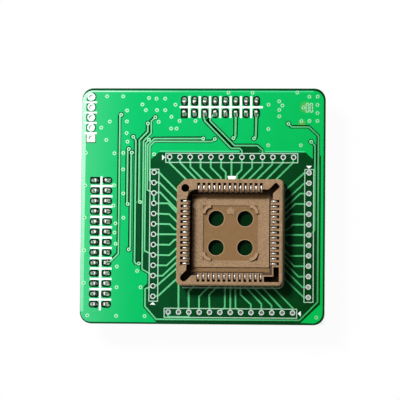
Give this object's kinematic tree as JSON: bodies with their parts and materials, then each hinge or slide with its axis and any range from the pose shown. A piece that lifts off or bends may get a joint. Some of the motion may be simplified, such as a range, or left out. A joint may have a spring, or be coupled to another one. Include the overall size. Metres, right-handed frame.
{
  "type": "programmer adapter board",
  "caption": "Small green circuit board with a square chip-carrier socket inside a ring of plated holes, and double-row socket strips underneath that plug onto a programmer.",
  "frame": {"origin": "middle of the board's outline, on the plane that the socket strips stand on", "axes": "+Z out of the component side, +X and +Y along the board's long and short edges, with the corner row of holes at -X, +Y"},
  "size_m": [0.06, 0.058, 0.0152],
  "materials": {
    "board": "green solder mask over glass epoxy",
    "socket_plastic": "tan glass-filled moulding",
    "strip_plastic": "black glass-filled moulding",
    "contact_metal": "tinned copper alloy",
    "solder": "bright solder"
  },
  "bodies": {
    "adapter": {"circuit_board": "board", "socket_housing": "socket_plastic", "socket_outer_tails_north": "contact_metal", "socket_inner_tails_north": "contact_metal", "socket_outer_tails_west": "contact_metal", "socket_inner_tails_west": "contact_metal", "socket_outer_tails_south": "contact_metal", "socket_inner_tails_south": "contact_metal", "socket_outer_tails_east": "contact_metal", "socket_inner_tails_east": "contact_metal", "left_header_housing": "strip_plastic", "left_header_forks_west": "contact_metal", "left_header_solder_west": "solder", "left_header_forks_east": "contact_metal", "left_header_solder_east": "solder", "top_header_housing": "strip_plastic", "top_header_forks_south": "contact_metal", "top_header_solder_south": "solder", "top_header_forks_north": "contact_metal", "top_header_solder_north": "solder"},
    "north_arms": {"socket_arms_north": "contact_metal"},
    "west_arms": {"socket_arms_west": "contact_metal"},
    "south_arms": {"socket_arms_south": "contact_metal"},
    "east_arms": {"socket_arms_east": "contact_metal"}
  },
  "joints": [
    {"name": "north_arms_bend", "type": "hinge", "parent": "adapter", "child": "north_arms", "pos_m": [0.007, 0.00473, 0.01142], "axis": [-1, 0, 0], "range_deg": [0, 6], "stiffness_Nm_per_rad": 0.3},
    {"name": "west_arms_bend", "type": "hinge", "parent": "adapter", "child": "west_arms", "pos_m": [-0.00443, -0.0067, 0.01142], "axis": [0, -1, 0], "range_deg": [0, 6], "stiffness_Nm_per_rad": 0.3},
    {"name": "south_arms_bend", "type": "hinge", "parent": "adapter", "child": "south_arms", "pos_m": [0.007, -0.01813, 0.01142], "axis": [1, 0, 0], "range_deg": [0, 6], "stiffness_Nm_per_rad": 0.3},
    {"name": "east_arms_bend", "type": "hinge", "parent": "adapter", "child": "east_arms", "pos_m": [0.01843, -0.0067, 0.01142], "axis": [0, 1, 0], "range_deg": [0, 6], "stiffness_Nm_per_rad": 0.3}
  ]
}
